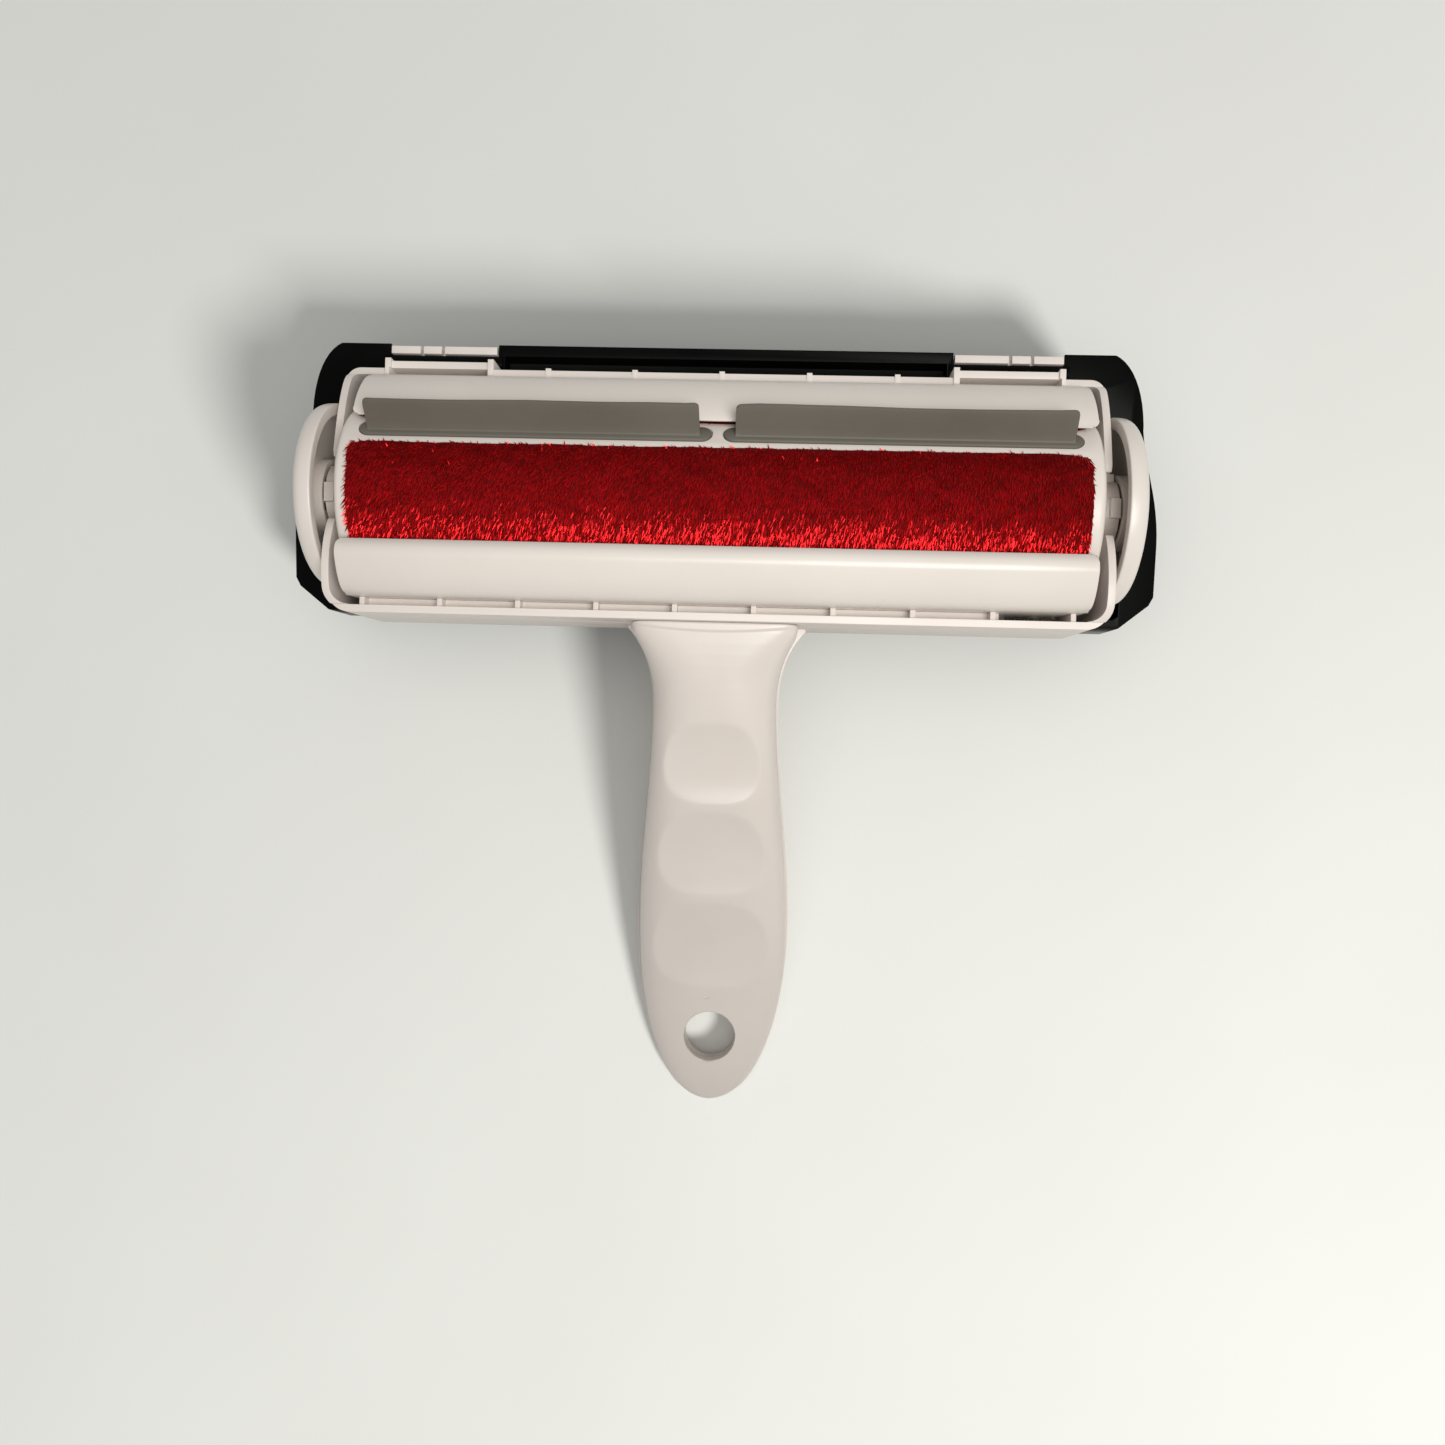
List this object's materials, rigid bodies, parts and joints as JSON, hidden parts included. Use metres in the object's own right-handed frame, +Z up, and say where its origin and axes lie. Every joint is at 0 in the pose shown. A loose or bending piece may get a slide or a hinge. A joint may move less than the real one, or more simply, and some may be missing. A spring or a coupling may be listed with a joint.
{
  "type": "lint roller",
  "caption": "Reusable pet-hair and lint roller: T-shaped hand tool with a reversing velvet drum in a white head, rubber blades and a hinged black bin lid.",
  "frame": {"origin": "middle of the bounding box's footprint, on the surface that the roller lies on with its lid down", "axes": "+X along the drum to the right, +Y away from the handle, +Z up, out of the drum's open side"},
  "size_m": [0.204, 0.1822, 0.0607],
  "materials": {
    "frame_white": "satin moulded ABS, warm white",
    "lip_white": "smooth moulded ABS, warm white",
    "drum_white": "satin moulded ABS, warm white",
    "wheel_white": "smooth moulded ABS, warm white",
    "handle_white": "satin moulded ABS, warm white",
    "lid_black": "moulded ABS, black, semi-gloss",
    "blade_grey": "soft grey rubber",
    "velvet_red": "short red directional pile",
    "brush_red": "short red directional pile",
    "spring_steel": "bright spring steel and zinc-plated screws"
  },
  "bodies": {
    "head": {"head_frame": "frame_white", "front_lip": "lip_white", "rear_lip": "lip_white", "front_brush": "brush_red", "rear_brush": "brush_red", "handle_front": "handle_white", "handle_back": "handle_white", "handle_screws": "spring_steel", "latch_spring": "spring_steel"},
    "drum": {"drum_shell": "drum_white", "front_velvet": "velvet_red", "rear_velvet": "velvet_red", "blade_left": "blade_grey", "blade_right": "blade_grey", "hub_left": "drum_white", "hub_right": "drum_white", "wheel_left": "wheel_white", "wheel_right": "wheel_white"},
    "lid": {"lid": "lid_black"},
    "latch": {"latch_rocker": "frame_white"},
    "button": {"release_button": "handle_white"}
  },
  "joints": [
    {"name": "drum_turn", "type": "hinge", "parent": "head", "child": "drum", "pos_m": [0, 0.05355, 0.038], "axis": [1, 0, 0], "range_deg": [0, 64]},
    {"name": "lid_hinge", "type": "hinge", "parent": "head", "child": "lid", "pos_m": [0, 0.08695, 0.03], "axis": [1, 0, 0], "range_deg": [0, 100]},
    {"name": "button_press", "type": "slide", "parent": "head", "child": "button", "axis": [0, 0, 1], "range_m": [0, 0.0024], "stiffness_N_per_m": 400, "springref_m": -0.001},
    {"name": "latch_turn", "type": "hinge", "parent": "head", "child": "latch", "pos_m": [0, 0.03035, 0.029], "axis": [-1, 0, 0], "range_deg": [0, 7]}
  ],
  "couplings": [
    {"joint": "latch_turn", "follows": "button_press", "rad_per_m": 50}
  ]
}
